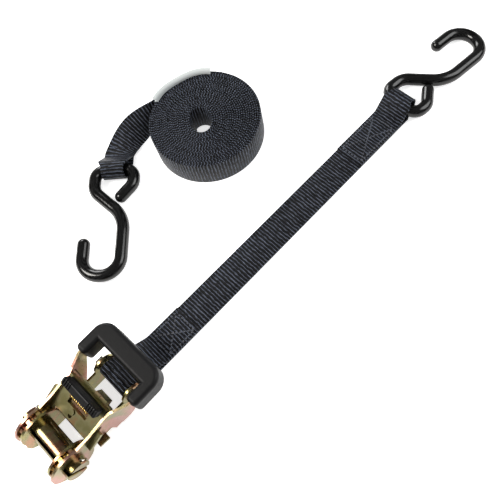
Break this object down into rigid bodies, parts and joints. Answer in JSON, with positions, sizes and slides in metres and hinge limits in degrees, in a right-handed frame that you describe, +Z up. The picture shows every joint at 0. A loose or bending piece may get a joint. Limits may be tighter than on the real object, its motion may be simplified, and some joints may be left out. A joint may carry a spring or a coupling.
{
  "type": "ratchet strap",
  "caption": "Two-piece 1 inch ratchet strap: closed zinc-plated ratchet with rubber grip, short strap with coated S-hook, long strap wound in a coil with a second S-hook",
  "frame": {"origin": "centre of the ratchet frame's base plate, on the ground it rests on", "axes": "+X along the short strap from the ratchet to its hook, +Y towards the coiled strap, +Z up"},
  "size_m": [0.4838, 0.1963, 0.0443],
  "materials": {
    "plated_steel": "satin",
    "bright_steel": "satin",
    "spring_steel": "satin",
    "hook_steel": "satin",
    "grip_rubber": "satin",
    "black_plastic": "satin",
    "black_vinyl": "gloss",
    "black_webbing": "matte",
    "blank_label": "matte"
  },
  "bodies": {
    "frame": {"base_frame": "plated_steel", "anchor_bolt": "bright_steel", "anchor_nut": "bright_steel", "anchor_sleeve": "bright_steel", "lock_spring": "spring_steel"},
    "lock_pawl": {"lock_plate": "plated_steel"},
    "handle": {"handle_frame": "plated_steel", "rubber_grip": "grip_rubber", "guide_rivet": "bright_steel", "drive_spring": "spring_steel"},
    "drive_pawl": {"drive_pawl": "plated_steel", "finger_bar": "black_plastic"},
    "spool": {"spool_half_upper": "plated_steel", "spool_half_lower": "plated_steel", "ratchet_wheel_left": "plated_steel", "ratchet_wheel_right": "plated_steel", "spool_pin_left": "bright_steel", "spool_pin_right": "bright_steel"},
    "short_strap": {"short_webbing": "black_webbing"},
    "hook_a": {"hook_a_wire": "hook_steel", "hook_a_coating": "black_vinyl"},
    "long_strap": {"long_webbing_coil": "black_webbing", "long_webbing_loop": "black_webbing", "long_webbing_tail": "black_webbing", "long_strap_label": "blank_label"},
    "hook_b": {"hook_b_wire": "hook_steel", "hook_b_coating": "black_vinyl"}
  },
  "joints": [
    {"name": "handle_hinge", "type": "hinge", "parent": "frame", "child": "handle", "pos_m": [-0.021, 0, 0.018], "axis": [0, -1, 0], "range_deg": [0, 160]},
    {"name": "spool_spin", "type": "hinge", "parent": "frame", "child": "spool", "pos_m": [-0.021, 0, 0.018], "axis": [0, -1, 0], "continuous": true},
    {"name": "drive_slide", "type": "slide", "parent": "handle", "child": "drive_pawl", "axis": [0.891, 0, 0.454], "range_m": [0, 0.003], "stiffness_N_per_m": 400},
    {"name": "lock_slide", "type": "slide", "parent": "frame", "child": "lock_pawl", "axis": [0.9781, 0, -0.2079], "range_m": [0, 0.003], "stiffness_N_per_m": 400},
    {"name": "short_strap_flex", "type": "hinge", "parent": "frame", "child": "short_strap", "pos_m": [0.037, 0, 0.017], "axis": [0, -1, 0], "range_deg": [0, 5]},
    {"name": "hook_a_swing", "type": "hinge", "parent": "short_strap", "child": "hook_a", "pos_m": [0.3471, -0.0046, 0.00747], "axis": [-0.1132, -0.9936, 0], "range_deg": [0, 60]},
    {"name": "long_strap_lift", "type": "slide", "parent": "frame", "child": "long_strap", "axis": [0, 0, 1], "range_m": [0, 0.3]},
    {"name": "hook_b_swing", "type": "hinge", "parent": "long_strap", "child": "hook_b", "pos_m": [0.1495, 0.137, 0.00747], "axis": [-0.6947, 0.7193, 0], "range_deg": [0, 60]}
  ]
}
